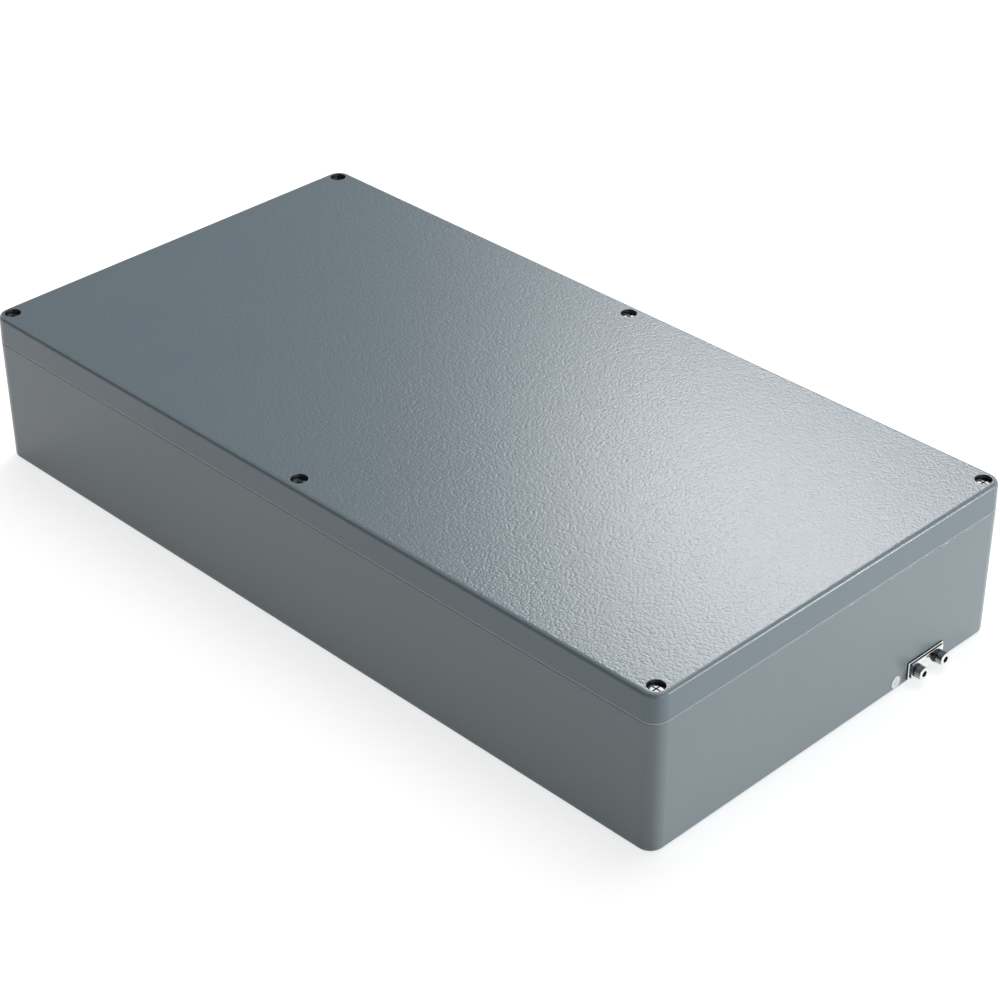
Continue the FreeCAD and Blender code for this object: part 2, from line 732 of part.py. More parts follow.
for item in doc.Objects:
    if "Invalid" in item.State or "Error" in item.State:
        raise RuntimeError(f"{item.Name} did not recompute: {item.State}")

os.makedirs("parts", exist_ok=True)
for part in parts:
    if part.Shape.isNull() or not part.Shape.isValid() or len(part.Shape.Solids) != 1:
        raise RuntimeError(f"{part.Label} is not one valid solid")
    part.Shape.exportStep(f"parts/{part.Label}.step")
    print(f"{part.Label}: 1 solid, {part.Shape.Volume / 1000:.2f} cm3")
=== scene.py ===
"""The die cast aluminium box in a plain studio: coats, hardware, camera, floor and lights."""
import json
import math

import bpy
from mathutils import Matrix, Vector

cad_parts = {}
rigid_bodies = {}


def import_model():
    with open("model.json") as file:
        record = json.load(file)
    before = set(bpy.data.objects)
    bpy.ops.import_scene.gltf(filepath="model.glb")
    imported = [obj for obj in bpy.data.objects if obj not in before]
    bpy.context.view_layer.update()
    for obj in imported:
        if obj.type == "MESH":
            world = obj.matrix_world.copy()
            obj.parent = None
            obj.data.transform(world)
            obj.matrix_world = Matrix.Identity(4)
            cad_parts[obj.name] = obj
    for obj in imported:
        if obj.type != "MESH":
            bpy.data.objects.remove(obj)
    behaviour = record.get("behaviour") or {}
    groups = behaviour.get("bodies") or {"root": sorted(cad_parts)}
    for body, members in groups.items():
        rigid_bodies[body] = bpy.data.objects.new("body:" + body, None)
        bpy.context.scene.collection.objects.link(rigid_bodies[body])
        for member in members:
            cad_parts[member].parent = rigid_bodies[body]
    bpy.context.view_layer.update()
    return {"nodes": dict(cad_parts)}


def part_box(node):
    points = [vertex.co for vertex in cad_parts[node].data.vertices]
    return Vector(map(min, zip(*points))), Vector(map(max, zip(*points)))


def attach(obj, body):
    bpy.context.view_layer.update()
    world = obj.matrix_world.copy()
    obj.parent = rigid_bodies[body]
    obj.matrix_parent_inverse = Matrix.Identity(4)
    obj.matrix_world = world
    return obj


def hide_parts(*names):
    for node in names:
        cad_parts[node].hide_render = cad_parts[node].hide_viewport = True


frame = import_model()
scene = bpy.context.scene
nodes = frame["nodes"]

MM = 0.001

# Lid screws: their number, and their sizes in mm as the solids have them

LID_SCREWS = 6
LID_HEAD_RADIUS = 4.75
LID_HEAD_HEIGHT = 3.5
CROSS_SPAN = 5.8
CROSS_ARM = 1.0
CROSS_DEPTH = 1.8
WAIST_RADIUS = 2.0
LID_THREAD_FOOT = -26.3
LID_THREAD_TOP = -15.3

# Outside earth terminal, in mm: its sizes as the solids have them, and the knurl and ink put on here

SOCKET_HEAD_RADIUS = 4.25
SOCKET_HEAD_HEIGHT = 5.0
HEXAGON_RADIUS = 2.31
HEXAGON_DEPTH = 2.5
EARTH_SCREW_LENGTH = 15
KNURL_RIDGES = 36
KNURL_DEPTH = 0.05
WASHER_MIDDLE = 3.5
WASHER_WIRE = 1.7
WASHER_THICKNESS = 1.2
PLATE_HOLE_RADIUS = 2.65
PLATE_ROUNDING = 0.8
DISC_THICKNESS = 0.4
INK_THICKNESS = 0.06

# Threads of both kinds of screw, in mm: as wide as the plain cylinders of the solids

THREAD_PITCH = 0.8
THREAD_RADIUS = 2.4
THREAD_ROOT = 2.05
THREAD_TAPER = 0.6

# Heights of the lid, and distances of its screws from the middle of the box, in metres

LID_FOOT, LID_TOP = (corner.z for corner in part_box("lid"))
head_corners = [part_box(f"lid_screw_{number}")[1] for number in range(1, LID_SCREWS + 1)]
SCREW_X = max(corner.x for corner in head_corners) - LID_HEAD_RADIUS * MM
SCREW_Y = max(corner.y for corner in head_corners) - LID_HEAD_RADIUS * MM


# Small helpers

def linear(colour):
    """The linear RGBA of an sRGB hex colour, such as "8c969d"."""
    channels = []
    for start in (0, 2, 4):
        channel = int(colour[start:start + 2], 16) / 255
        channels.append(channel / 12.92 if channel <= 0.04045 else ((channel + 0.055) / 1.055) ** 2.4)
    return (*channels, 1.0)


def add(tree, kind, settings=None, links=None):
    """A node of one kind with its settings, and links from other nodes' outputs into its inputs.

    An input is named, or numbered where a node has several of one name.
    """
    node = tree.nodes.new(kind)
    for name, setting in (settings or {}).items():
        if isinstance(name, int) or name in node.inputs:
            node.inputs[name].default_value = setting
        else:
            setattr(node, name, setting)
    for name, output in (links or {}).items():
        tree.links.new(output, node.inputs[name])
    return node


def new_material(name):
    """A material with its tree cleared, and the tree."""
    material = bpy.data.materials.new(name)
    material.use_nodes = True
    material.node_tree.nodes.clear()
    return material, material.node_tree


def paint(material, *names):
    """Gives a material to CAD nodes, in place of the plain one that they were packed with."""
    for name in names:
        nodes[name].data.materials.clear()
        nodes[name].data.materials.append(material)


def deselect_all():
    """Leaves edit mode and selects nothing."""
    if bpy.context.mode != "OBJECT":
        bpy.ops.object.mode_set(mode="OBJECT")
    bpy.ops.object.select_all(action="DESELECT")


def make_active(piece):
    """Selects one piece alone, for the operators that work on the active one."""
    deselect_all()
    piece.select_set(True)
    bpy.context.view_layer.objects.active = piece


# Camera, at the photograph's viewing angle

bpy.ops.object.camera_add(
    location=(1.03775, -0.99587, 0.96149),
    rotation=(math.radians(57.0171), math.radians(0.2072), math.radians(45.3628)))
camera = bpy.context.object
camera.name = "camera"
camera.data.lens = 94.947
camera.data.sensor_width = 36
camera.data.clip_start = 0.05
camera.data.clip_end = 60
scene.camera = camera
scene.view_settings.view_transform = "Standard"


# Coats and metals

def powder_coat(name, darker, lighter, grained=False):
    """Powder coat on die cast aluminium, sprayed and baked.

    It gives an even silver grey with a soft sheen: a broad, blurred highlight, no metallic sparkle,
    and a faint orange peel. The top of the lid is cast with a fine leather grain under the coat.
    """
    material, tree = new_material(name)
    place = add(tree, "ShaderNodeTexCoord")
    peel = add(tree, "ShaderNodeTexNoise", {"Scale": 1 / (9 * MM), "Detail": 2.0, "Roughness": 0.5},
               {"Vector": place.outputs["Object"]})
    # The peel of a real coat is a few micrometres deep and 2 to 10 mm across
    bump = add(tree, "ShaderNodeBump", {"Strength": 0.10, "Distance": 0.02 * MM},
               {"Height": peel.outputs["Fac"]})
    if grained:
        bump = leather_grain(tree, place, bump)
    tint = add(tree, "ShaderNodeTexNoise", {"Scale": 1 / (60 * MM), "Detail": 3.0},
               {"Vector": place.outputs["Object"]})
    colour = add(tree, "ShaderNodeMix", {"data_type": "RGBA", "A": linear(darker), "B": linear(lighter)},
                 {"Factor": tint.outputs["Fac"]})
    # On the lid, painted shade darkens the head pockets and a painted highlight lightens the lid's foot.
    if grained:
        colour = painted_foot_highlight(tree, place, painted_pocket_shade(tree, place, colour))
    surface = add(tree, "ShaderNodeBsdfPrincipled", {"Roughness": 0.285, "IOR": 1.5},
                  {"Base Color": colour.outputs["Result"], "Normal": bump.outputs["Normal"]})
    add(tree, "ShaderNodeOutputMaterial", links={"Surface": surface.outputs["BSDF"]})
    return material


def painted_pocket_shade(tree, place, coat):
    """The coat's colour, and painted shade in the head pockets, whose walls are coloured dark grey.

    A spot is in a pocket when it is near a screw's axis and below the top of the lid. The screws stand
    at the corners and half way along the long sides, so the nearer of those two distances counts.
    """
    reach = 5.6 * MM
    edge = LID_TOP - 0.2 * MM
    spot = add(tree, "ShaderNodeSeparateXYZ", links={"Vector": place.outputs["Object"]})
    along = add(tree, "ShaderNodeMath", {"operation": "ABSOLUTE"}, {0: spot.outputs["X"]})
    from_corner = add(tree, "ShaderNodeMath", {"operation": "SUBTRACT", 1: SCREW_X},
                      {0: along.outputs["Value"]})
    corner_gap = add(tree, "ShaderNodeMath", {"operation": "ABSOLUTE"}, {0: from_corner.outputs["Value"]})
    gap_x = add(tree, "ShaderNodeMath", {"operation": "MINIMUM"},
                {0: along.outputs["Value"], 1: corner_gap.outputs["Value"]})
    across = add(tree, "ShaderNodeMath", {"operation": "ABSOLUTE"}, {0: spot.outputs["Y"]})
    gap_y = add(tree, "ShaderNodeMath", {"operation": "SUBTRACT", 1: SCREW_Y}, {0: across.outputs["Value"]})
    gap = add(tree, "ShaderNodeCombineXYZ",
              links={"X": gap_x.outputs["Value"], "Y": gap_y.outputs["Value"]})
    radius = add(tree, "ShaderNodeVectorMath", {"operation": "LENGTH"}, {0: gap.outputs["Vector"]})
    inside = add(tree, "ShaderNodeMath", {"operation": "LESS_THAN", 1: reach}, {0: radius.outputs["Value"]})
    below = add(tree, "ShaderNodeMath", {"operation": "LESS_THAN", 1: edge}, {0: spot.outputs["Z"]})
    pocket_shade = add(tree, "ShaderNodeMath", {"operation": "MULTIPLY"},
               {0: inside.outputs["Value"], 1: below.outputs["Value"]})
    # Painted shade: the pocket walls take a dark grey in place of the coat.
    return add(tree, "ShaderNodeMix", {"data_type": "RGBA", "B": linear("34393c")},
               {"Factor": pocket_shade.outputs["Value"], "A": coat.outputs["Result"]})


def painted_foot_highlight(tree, place, coat):
    """The coat's colour, and a painted highlight: a pale line along the lid's foot."""
    edge = LID_FOOT + 1.1 * MM
    spot = add(tree, "ShaderNodeSeparateXYZ", links={"Vector": place.outputs["Object"]})
    foot_band = add(tree, "ShaderNodeMath", {"operation": "LESS_THAN", 1: edge}, {0: spot.outputs["Z"]})
    # Painted highlight: a pale grey band on the lowest 1.1 mm of the lid.
    return add(tree, "ShaderNodeMix", {"data_type": "RGBA", "B": linear("c6cbce")},
               {"Factor": foot_band.outputs["Value"], "A": coat.outputs["Result"]})


def leather_grain(tree, place, under):
    """Low domed cells under 2 mm across with creases between them, only on the flat top of the lid."""
    warp = add(tree, "ShaderNodeTexNoise", {"Scale": 1 / (4 * MM), "Detail": 1.0},
               {"Vector": place.outputs["Object"]})
    shift = add(tree, "ShaderNodeVectorMath", {"operation": "SCALE", "Scale": 0.9 * MM},
                {"Vector": warp.outputs["Color"]})
    moved = add(tree, "ShaderNodeVectorMath", {"operation": "ADD"},
                {0: place.outputs["Object"], 1: shift.outputs["Vector"]})
    cells = add(tree, "ShaderNodeTexVoronoi",
                {"feature": "F1", "Scale": 1 / (1.7 * MM), "Randomness": 0.85},
                {"Vector": moved.outputs["Vector"]})
    dome = add(tree, "ShaderNodeMath", {"operation": "POWER", 1: 2.0}, {0: cells.outputs["Distance"]})
    height = add(tree, "ShaderNodeSeparateXYZ", links={"Vector": place.outputs["Object"]})
    top = add(tree, "ShaderNodeMapRange",
              {"From Min": LID_TOP - 0.4 * MM, "From Max": LID_TOP - 0.05 * MM,
               "To Min": 0.0, "To Max": 1.0},
              {"Value": height.outputs["Z"]})
    relief = add(tree, "ShaderNodeMath", {"operation": "MULTIPLY"},
                 {0: dome.outputs["Value"], 1: top.outputs["Result"]})
    return add(tree, "ShaderNodeBump", {"Strength": 1.0, "Distance": 0.09 * MM, "invert": True},
               {"Height": relief.outputs["Value"], "Normal": under.outputs["Normal"]})


def plain_metal(name, colour, roughness):
    """Stainless steel with fine tool marks.

    Polished faces are bright. The darker colours are painted shade, and on knurls partly a duller finish.
    """
    material, tree = new_material(name)
    place = add(tree, "ShaderNodeTexCoord")
    marks = add(tree, "ShaderNodeTexNoise", {"Scale": 1 / (0.5 * MM), "Detail": 3.0},
                {"Vector": place.outputs["Object"]})
    bump = add(tree, "ShaderNodeBump", {"Strength": 0.08, "Distance": 0.02 * MM},
               {"Height": marks.outputs["Fac"]})
    surface = add(tree, "ShaderNodeBsdfPrincipled",
                  {"Base Color": linear(colour), "Metallic": 1.0, "Roughness": roughness},
                  {"Normal": bump.outputs["Normal"]})
    add(tree, "ShaderNodeOutputMaterial", links={"Surface": surface.outputs["BSDF"]})
    return material


def soft_stuff(name, colour, roughness):
    """Rubber, nylon, label film and ink, which have a plain colour and a faint mottle."""
    material, tree = new_material(name)
    place = add(tree, "ShaderNodeTexCoord")
    mottle = add(tree, "ShaderNodeTexNoise", {"Scale": 1 / (1.5 * MM), "Detail": 2.0},
                 {"Vector": place.outputs["Object"]})
    bump = add(tree, "ShaderNodeBump", {"Strength": 0.1, "Distance": 0.02 * MM},
               {"Height": mottle.outputs["Fac"]})
    surface = add(tree, "ShaderNodeBsdfPrincipled", {"Base Color": linear(colour), "Roughness": roughness},
                  {"Normal": bump.outputs["Normal"]})
    add(tree, "ShaderNodeOutputMaterial", links={"Surface": surface.outputs["BSDF"]})
    return material


# The lid's coat is mixed darker and bluer than the base's, though both are one coat: painted shade on the
# lid.
lid_coat = powder_coat("lid_powder_coat", "80909a", "85949d", grained=True)
base_coat = powder_coat("base_powder_coat", "8c99a0", "919da3")
screw_steel = plain_metal("polished_stainless_steel", "f0f0ee", 0.10)
plate_steel = plain_metal("polished_stainless_plate", "f2f2f1", 0.07)
# The knurled sides of the socket heads: a duller steel, made darker still as painted shade.
knurl_steel_and_shade = plain_metal("drawn_stainless_steel", "96989a", 0.14)
# Painted shade: this near-black steel colours the recesses, the split washers and the plates' narrow sides.
painted_shade_steel = plain_metal("unpolished_stainless_steel", "444648", 0.3)
seal_rubber = soft_stuff("rubber_sealing_cord", "1b1c1d", 0.7)
nylon = soft_stuff("moulded_nylon", "d9d8d2", 0.5)
film = soft_stuff("white_label_film", "fcfdfe", 0.3)
pale_ink = soft_stuff("pale_blue_grey_ink", "d3dbe4", 0.4)

paint(base_coat, "base")
paint(lid_coat, "lid")
paint(seal_rubber, "lid_gasket")
paint(screw_steel, *[name for name in nodes if name.startswith("lid_screw_")])
paint(nylon, *[name for name in nodes if name.startswith("screw_ring_")])
paint(plate_steel, "earth_back_plate", "earth_clamp_plate", "inner_earth_clamp")
paint(screw_steel, "earth_screw_1", "earth_screw_2", "inner_earth_screw")
paint(screw_steel, "earth_spring_washer_1", "earth_spring_washer_2", "inner_earth_spring_washer")
paint(film, "earth_sign_disc")


# Ways to model the small pieces, at the origin, before they go where the solids have them

def finished(name, turn=(0, 0, 0), place=(0, 0, 0)):
    """Turns and places the active piece, in degrees and metres, so that its place is in its mesh."""
    piece = bpy.context.object
    piece.name = name
    piece.rotation_euler = [math.radians(angle) for angle in turn]
    piece.location = place
    bpy.ops.object.transform_apply(location=True, rotation=True, scale=True)
    bpy.ops.object.shade_smooth_by_angle(angle=math.radians(35))
    return piece


def turned(steps, sides):
    """A turned blank on the Z axis: a disc drawn out and resized through (radius, height) in mm."""
    deselect_all()
    radius, height = steps[0]
    bpy.ops.mesh.primitive_circle_add(vertices=sides, radius=radius * MM, fill_type="NGON",
                                      location=(0, 0, height * MM))
    bpy.ops.object.transform_apply(location=True)
    bpy.ops.object.mode_set(mode="EDIT")
    bpy.ops.mesh.select_all(action="SELECT")
    for next_radius, next_height in steps[1:]:
        rise = (0, 0, (next_height - height) * MM)
        bpy.ops.mesh.extrude_region_move(TRANSFORM_OT_translate={"value": rise})
        scale = next_radius / radius
        bpy.ops.transform.resize(value=(scale, scale, 1), center_override=(0, 0, next_height * MM))
        radius, height = next_radius, next_height
    bpy.ops.mesh.select_all(action="SELECT")
    bpy.ops.mesh.normals_make_consistent(inside=False)
    bpy.ops.object.mode_set(mode="OBJECT")
    return bpy.context.object


def block(low, high):
    """A block between two corners in mm, for plates, bars and cutters to start from."""
    deselect_all()
    middle = [(a + b) / 2 * MM for a, b in zip(low, high)]
    bpy.ops.mesh.primitive_cube_add(size=1, location=middle)
    box = bpy.context.object
    box.scale = [(b - a) * MM for a, b in zip(low, high)]
    bpy.ops.object.transform_apply(location=True, scale=True)
    return box


def combine(piece, other, operation):
    """Takes another shape out of a piece or joins it to the piece, and removes that shape."""
    change = piece.modifiers.new("combine", "BOOLEAN")
    change.operation = operation
    change.solver = "EXACT"
    change.object = other
    make_active(piece)
    bpy.ops.object.modifier_apply(modifier=change.name)
    bpy.data.objects.remove(other)


def break_edges(piece, width):
    """Rounds a piece's sharp edges a little, as tumbling leaves them."""
    make_active(piece)
    bevel = piece.modifiers.new("bevel", "BEVEL")
    bevel.width = width * MM
    bevel.segments = 2
    bevel.limit_method = "ANGLE"
    bevel.angle_limit = math.radians(40)
    bpy.ops.object.modifier_apply(modifier=bevel.name)


def thread(low, high):
    """The steps of a rolled thread between two heights, drawn as rings, with a tapered foot."""
    steps = [(THREAD_RADIUS - THREAD_TAPER, low), (THREAD_RADIUS, low + THREAD_TAPER)]
    height = low + THREAD_TAPER
    while height + THREAD_PITCH < high:
        steps.append((THREAD_ROOT, height + THREAD_PITCH / 2))
        steps.append((THREAD_RADIUS, height + THREAD_PITCH))
        height += THREAD_PITCH
    steps.append((THREAD_RADIUS, high))
    return steps


def copy_to(piece, name, place):
    """One more of a finished piece, with its own mesh."""
    copy = piece.copy()
    copy.data = piece.data.copy()
    scene.collection.objects.link(copy)
    make_active(copy)
    return finished(name, place=place)


def dress(piece, node, material):
    """Puts a modelled piece in the place of a CAD node, in one finish unless its faces have theirs."""
    if not piece.data.materials:
        piece.data.materials.append(material)
    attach(piece, "root")
    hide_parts(node)


def finish_faces(piece, finishes):
    """Gives each face the first finish whose test holds for its normal, its radius and its middle in mm."""
    tests = []
    for material, test in finishes:
        piece.data.materials.append(material)
        tests.append(test)
    for face in piece.data.polygons:
        middle = face.center / MM
        radius = math.hypot(middle.x, middle.y)
        held = [test(face.normal, radius, middle) for test in tests]
        face.material_index = held.index(True)


def anywhere(normal, radius, middle):
    """The test of the finish that comes last, for all the faces that are left."""
    return True


def middle_of(node):
    """The middle of a CAD node, in metres."""
    low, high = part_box(node)
    return (low + high) / 2


# Lid screws

def cross_cutter(across):
    """One pair of wings of the cross recess, narrower towards its foot."""
    half_span = CROSS_SPAN / 2
    half_arm = CROSS_ARM / 2
    foot = LID_HEAD_HEIGHT - CROSS_DEPTH
    clear_of_head = LID_HEAD_HEIGHT + 0.02
    share_at_foot = (0.45, 0.8, 1)
    cutter = block((-half_span, -half_arm, foot), (half_span, half_arm, clear_of_head))
    bpy.ops.object.mode_set(mode="EDIT")
    bpy.ops.mesh.select_all(action="DESELECT")
    bpy.ops.object.mode_set(mode="OBJECT")
    for face in cutter.data.polygons:
        face.select = face.normal.z < -0.9
    bpy.ops.object.mode_set(mode="EDIT")
    bpy.ops.transform.resize(value=share_at_foot, center_override=(0, 0, foot * MM))
    bpy.ops.object.mode_set(mode="OBJECT")
    if across:
        cutter.rotation_euler.z = math.radians(90)
        bpy.ops.object.transform_apply(rotation=True)
    return cutter


def in_cross(normal, radius, middle):
    """The test for the faces of the cross recess."""
    return 1 < middle.z < LID_HEAD_HEIGHT - 0.05 and radius < 3.4


def model_lid_screw():
    """Captive cheese head screw with a cross recess, a rounded rim, a narrow waist and a short thread."""
    rim = LID_HEAD_RADIUS
    top = LID_HEAD_HEIGHT
    steps = thread(LID_THREAD_FOOT, LID_THREAD_TOP - 0.3)
    steps += [(WAIST_RADIUS, LID_THREAD_TOP), (WAIST_RADIUS, 0), (rim - 0.2, 0), (rim, 0.2)]
    steps += [(rim, top - 0.35), (rim - 0.05, top - 0.17), (rim - 0.17, top - 0.05), (rim - 0.35, top)]
    screw = turned(steps, 48)
    for across in (False, True):
        combine(screw, cross_cutter(across), "DIFFERENCE")
    centre = turned([(0.5, top - CROSS_DEPTH - 0.3), (0.85, top + 0.05), (0.85, top + 1)], 24)
    combine(screw, centre, "DIFFERENCE")
    break_edges(screw, 0.04)
    # Painted shade: the cross recess is coloured in the near-black steel.
    finish_faces(screw, [(painted_shade_steel, in_cross), (screw_steel, anywhere)])
    return screw


def fit_lid_screws():
    """One modelled screw, copied to each of the six places."""
    first = model_lid_screw()
    for number in range(1, LID_SCREWS + 1):
        node = f"lid_screw_{number}"
        low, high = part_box(node)
        under_head = ((low.x + high.x) / 2, (low.y + high.y) / 2, high.z - LID_HEAD_HEIGHT * MM)
        screw = copy_to(first, f"cross_recess_screw_{number}", under_head)
        dress(screw, node, screw_steel)
    bpy.data.objects.remove(first)


# Outside earth terminal

def knurl(screw, heights):
    """Draws in every other corner of the head's side, so that fine ridges stand between them."""
    step = math.pi / KNURL_RIDGES
    for corner in screw.data.vertices:
        on_side = math.hypot(corner.co.x, corner.co.y) > (SOCKET_HEAD_RADIUS - 0.01) * MM
        at_height = min(abs(corner.co.z / MM - height) for height in heights) < 0.01
        odd = round(math.atan2(corner.co.y, corner.co.x) / step) % 2 == 1
        corner.select = on_side and at_height and odd
    for group in (screw.data.edges, screw.data.polygons):
        for item in group:
            item.select = False
    bpy.ops.object.mode_set(mode="EDIT")
    drawn_in = 1 - KNURL_DEPTH / SOCKET_HEAD_RADIUS
    bpy.ops.transform.resize(value=(drawn_in, drawn_in, 1), center_override=(0, 0, 0))
    bpy.ops.object.mode_set(mode="OBJECT")


def in_hexagon(normal, radius, middle):
    """The test for the walls and the foot of the hexagon."""
    return radius < 2.2 and 1 < middle.z < SOCKET_HEAD_HEIGHT - 0.2


def on_head_side(normal, radius, middle):
    """The test for the knurled side of the head and what lies below it."""
    return radius > 3 and middle.z < SOCKET_HEAD_HEIGHT - 0.4


def model_socket_screw():
    """Socket head screw: knurled head with a broken rim, countersunk hexagon, rolled thread."""
    rim = SOCKET_HEAD_RADIUS
    top = SOCKET_HEAD_HEIGHT
    foot = top - HEXAGON_DEPTH
    knurl_foot = 0.6
    knurl_top = top - 0.9
    steps = thread(-EARTH_SCREW_LENGTH, 0)
    steps += [(rim - 0.25, 0), (rim, 0.25), (rim, knurl_foot), (rim, knurl_top)]
    steps += [(rim, top - 0.5), (rim - 0.5, top)]
    screw = turned(steps, 2 * KNURL_RIDGES)
    knurl(screw, (knurl_foot, knurl_top))
    wall = HEXAGON_RADIUS
    hexagon = turned([(0.3, foot - 0.8), (1.9, foot), (wall, foot + 0.001), (wall, top + 1)], 6)
    combine(screw, hexagon, "DIFFERENCE")
    mouth = turned([(1.9, top - 0.35), (2.55, top + 0.01), (2.55, top + 1)], 36)
    combine(screw, mouth, "DIFFERENCE")
    # Painted shade: the hexagon in near-black steel, and the knurled side in a darker steel than the face.
    finish_faces(screw, [(painted_shade_steel, in_hexagon), (knurl_steel_and_shade, on_head_side), (screw_steel, anywhere)])


def model_spring_washer():
    """Split washer of square wire, closed flat under a head, with its two cut ends ten degrees apart."""
    deselect_all()
    bpy.ops.mesh.primitive_plane_add(size=1, location=(WASHER_MIDDLE * MM, 0, WASHER_THICKNESS / 2 * MM),
                                     rotation=(math.radians(90), 0, 0))
    washer = bpy.context.object
    washer.scale = (WASHER_WIRE * MM, WASHER_THICKNESS * MM, 1)
    bpy.ops.object.transform_apply(location=True, rotation=True, scale=True)
    bpy.ops.object.mode_set(mode="EDIT")
    bpy.ops.mesh.select_all(action="SELECT")
    bpy.ops.mesh.spin(steps=60, angle=math.radians(350), center=(0, 0, 0), axis=(0, 0, 1))
    bpy.ops.mesh.select_all(action="SELECT")
    bpy.ops.mesh.remove_doubles(threshold=0.001 * MM)
    bpy.ops.mesh.normals_make_consistent(inside=False)
    bpy.ops.object.mode_set(mode="OBJECT")
    break_edges(washer, 0.12)


def on_plate_edge(normal, radius, middle):
    """The test for the narrow sides of a plate and the walls of its holes."""
    return abs(normal.x) < 0.5


def model_plate(node, every_edge):
    """Stamped plate of the terminal: two holes, and a rounding at its corners or along every edge."""
    low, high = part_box(node)
    plate = block(low / MM, high / MM)
    bpy.ops.object.mode_set(mode="EDIT")
    bpy.ops.mesh.select_mode(type="EDGE")
    bpy.ops.mesh.select_all(action="DESELECT")
    bpy.ops.object.mode_set(mode="OBJECT")
    for edge in plate.data.edges:
        start, end = (plate.data.vertices[index].co for index in edge.vertices)
        edge.select = every_edge or abs(start.x - end.x) > 0.1 * MM
    bpy.ops.object.mode_set(mode="EDIT")
    bpy.ops.mesh.bevel(offset=PLATE_ROUNDING * MM, segments=5, affect="EDGES")
    bpy.ops.object.mode_set(mode="OBJECT")
    for screw in ("earth_screw_1", "earth_screw_2"):
        hole = turned([(PLATE_HOLE_RADIUS, 0), (PLATE_HOLE_RADIUS, 20)], 40)
        hole.rotation_euler.y = math.radians(90)
        hole.location = (low.x - 5 * MM, middle_of(screw).y, middle_of(screw).z)
        bpy.ops.object.transform_apply(location=True, rotation=True)
        combine(plate, hole, "DIFFERENCE")
    break_edges(plate, 0.15)
    # Painted shade: the plate's narrow sides and hole walls in near-black steel.
    finish_faces(plate, [(painted_shade_steel, on_plate_edge), (plate_steel, anywhere)])


def fit_earth_terminal():
    """The two screws with their washers, and under them the two plates, the back one rounded all over."""
    outward = (0, 90, 0)
    for number in (1, 2):
        low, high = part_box(f"earth_spring_washer_{number}")
        middle = middle_of(f"earth_spring_washer_{number}")
        model_socket_screw()
        screw = finished(f"socket_screw_{number}", outward, (high.x, middle.y, middle.z))
        dress(screw, f"earth_screw_{number}", screw_steel)
        model_spring_washer()
        washer = finished(f"split_washer_{number}", outward, (low.x, middle.y, middle.z))
        # Painted shade: the split washers in near-black steel.
        dress(washer, f"earth_spring_washer_{number}", painted_shade_steel)
    for kind, every_edge in (("back_plate", True), ("clamp_plate", False)):
        model_plate(f"earth_{kind}", every_edge)
        dress(finished(f"stamped_{kind}"), f"earth_{kind}", plate_steel)


# Earth sign

def model_earth_sign():
    """The common earth sign in thin raised ink: a stem that stands on three bars, each shorter."""
    half_bar = 0.22
    sign = block((-0.2, -0.1, 0), (0.2, 2.5, INK_THICKNESS))
    for width, height in ((4.6, -0.1), (3.0, -1.1), (1.4, -2.1)):
        bar = block((-width / 2, height - half_bar, 0), (width / 2, height + half_bar, INK_THICKNESS))
        combine(sign, bar, "UNION")
    return sign


def fit_earth_sign():
    """The sign lies on the face of the disc, which leans back with the draft of the end wall."""
    low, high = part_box("earth_sign_disc")
    middle = (low + high) / 2
    thickness = DISC_THICKNESS * MM
    lean = math.asin((high.x - low.x - thickness) / (high.z - low.z))
    sign = model_earth_sign()
    sign.rotation_euler = (math.radians(90), 0, math.radians(90))
    bpy.ops.object.transform_apply(rotation=True)
    sign.rotation_euler = (0, lean, 0)
    outward = Vector((math.cos(lean), 0, math.sin(lean)))
    sign.location = middle + outward * thickness / 2
    sign.name = "earth_sign_mark"
    bpy.ops.object.transform_apply(location=True, rotation=True)
    sign.data.materials.append(pale_ink)
    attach(sign, "root")


fit_lid_screws()
fit_earth_terminal()
fit_earth_sign()


# Floor, world and lamps

def molton(name, colour):
    """Dull studio cloth."""
    material, tree = new_material(name)
    cloth = add(tree, "ShaderNodeBsdfDiffuse", {"Color": linear(colour)})
    add(tree, "ShaderNodeOutputMaterial", links={"Surface": cloth.outputs["BSDF"]})
    return material


def pale_floor():
    """A wide pale sheet under the box, which keeps the box's shadow.

    Its glow, which only the camera and mirrors see, takes it up to white where no shadow falls.
    """
    deselect_all()
    bpy.ops.mesh.primitive_plane_add(size=14, location=(0, 0, 0))
    floor = bpy.context.object
    floor.name = "studio_floor"
    material, tree = new_material("pale_paper_floor")
    paper = add(tree, "ShaderNodeBsdfDiffuse", {"Color": linear("e6e6e6")})
    lift = add(tree, "ShaderNodeEmission", {"Color": (1, 1, 1, 1), "Strength": 0.72})
    none = add(tree, "ShaderNodeEmission", {"Strength": 0.0})
    path = add(tree, "ShaderNodeLightPath")
    seen = add(tree, "ShaderNodeMath", {"operation": "MAXIMUM"},
               {0: path.outputs["Is Camera Ray"], 1: path.outputs["Is Glossy Ray"]})
    glow = add(tree, "ShaderNodeMixShader", links={
        0: seen.outputs["Value"], 1: none.outputs["Emission"], 2: lift.outputs["Emission"]})
    both = add(tree, "ShaderNodeAddShader", links={0: paper.outputs["BSDF"], 1: glow.outputs["Shader"]})
    add(tree, "ShaderNodeOutputMaterial", links={"Surface": both.outputs["Shader"]})
    floor.data.materials.append(material)


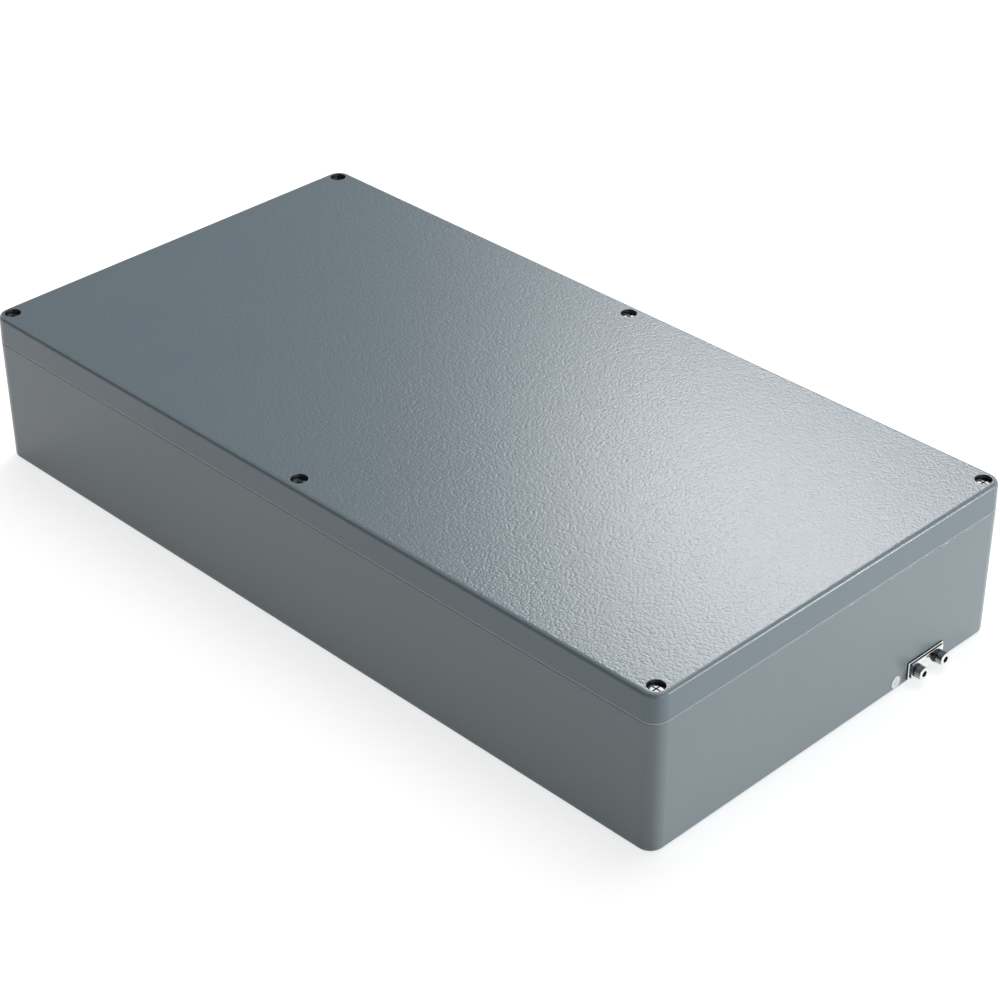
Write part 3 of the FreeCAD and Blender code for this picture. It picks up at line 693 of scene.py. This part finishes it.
def plain_world():
    """White to the camera and to mirrors, and a softer white that lights the box from all round."""
    world = bpy.data.worlds.new("studio_world")
    scene.world = world
    world.use_nodes = True
    tree = world.node_tree
    tree.nodes.clear()
    path = add(tree, "ShaderNodeLightPath")
    mirror = add(tree, "ShaderNodeMath", {"operation": "MAXIMUM"},
                 {0: path.outputs["Is Glossy Ray"], 1: path.outputs["Is Transmission Ray"]})
    seen = add(tree, "ShaderNodeMath", {"operation": "MAXIMUM"},
               {0: path.outputs["Is Camera Ray"], 1: mirror.outputs["Value"]})
    level = add(tree, "ShaderNodeMapRange", {"To Min": 0.15, "To Max": 1.0},
                {"Value": seen.outputs["Value"]})
    sky = add(tree, "ShaderNodeBackground", {"Color": (1, 1, 1, 1)}, {"Strength": level.outputs["Result"]})
    add(tree, "ShaderNodeOutputWorld", links={"Surface": sky.outputs["Background"]})


def flag_of(cloth, name, place, aim, width, height):
    """A studio flag that faces a point, which only glossy surfaces see."""
    deselect_all()
    bpy.ops.mesh.primitive_plane_add(size=1, location=place)
    flag = bpy.context.object
    flag.name = name
    flag.scale = (width, height, 1.0)
    flag.rotation_euler = (Vector(aim) - Vector(place)).to_track_quat("-Z", "Y").to_euler()
    flag.data.materials.append(cloth)
    flag.visible_camera = False
    flag.visible_diffuse = False
    flag.visible_shadow = False


def softbox(name, place, aim, width, height, power, roll=0):
    """A rectangular lamp that faces a point, turned about its own axis by some degrees."""
    deselect_all()
    bpy.ops.object.light_add(type="AREA", location=place)
    lamp = bpy.context.object
    lamp.name = name
    lamp.data.shape = "RECTANGLE"
    lamp.data.size = width
    lamp.data.size_y = height
    lamp.data.energy = power
    lamp.rotation_euler = (Vector(aim) - Vector(place)).to_track_quat("-Z", "Y").to_euler()
    lamp.rotation_euler.rotate_axis("Z", math.radians(roll))
    lamp.visible_camera = False
    return lamp


def keep_off(lamp, names):
    """Keeps a lamp off the pieces whose names start with one of these."""
    spared = bpy.data.collections.new(f"{lamp.name}_spares")
    lamp.light_linking.receiver_collection = spared
    for piece in bpy.data.objects:
        if piece.name.startswith(names):
            spared.objects.link(piece)
    for entry in spared.collection_objects:
        entry.light_linking.link_state = "EXCLUDE"


def overhead_light():
    """A very wide soft light from above and a little behind, even over the box and the whole floor."""
    deselect_all()
    bpy.ops.object.light_add(type="SUN", rotation=(math.radians(-20), math.radians(-8), 0))
    lamp = bpy.context.object
    lamp.name = "overhead_light"
    lamp.data.energy = 0.82
    lamp.data.angle = math.radians(40)


black_cloth = molton("black_molton_cloth", "1a1a1b")
grey_cloth = molton("grey_molton_cloth", "8c8c8c")
pale_floor()
plain_world()

# The left half of the lid mirrors the far left flag and shows its own colour with little sheen.
# Fillets, pockets and the sides of the screw heads mirror the front flag, as they would a dark room.
# The lid's right edge mirrors the back flag and, below it, the strip lamp.
flag_of(grey_cloth, "far_left_flag", (-2.08, 0.98, 1.5), (-1.281, 0.382, 1.5), 1.5, 3.0)
flag_of(black_cloth, "front_flag", (0.0, -2.2, 2.3), (0.0, 0.0, 2.3), 8.0, 4.5)
flag_of(black_cloth, "back_flag", (0.95, 1.68, 1.84), (0.3, 0.0, 0.11), 1.9, 1.3)

# The long soft box behind lies slanted, so that its sheen runs along the lid and fades towards the sides.
back_softbox = softbox("back_softbox", (-0.82, 1.47, 1.42), (0.25, 0.0, 0.11), 0.75, 0.24, 12.4, -23)
edge_strip = softbox("edge_strip", (1.40, 0.993, 0.32), (0.3, 0.0, 0.11), 0.3, 0.55, 10.0)
softbox("right_softbox", (2.4, -0.2, 0.45), (0.2, 0, 0.05), 1.6, 0.8, 7.0)

# Polished heads and plates mirror the white studio and would burn out in the lamps behind the box.
# The low strip would draw a long shadow on the floor.
polished = ("cross_recess_screw_", "socket_screw_", "stamped_")
keep_off(back_softbox, polished)
keep_off(edge_strip, (*polished, "studio_floor"))
overhead_light()
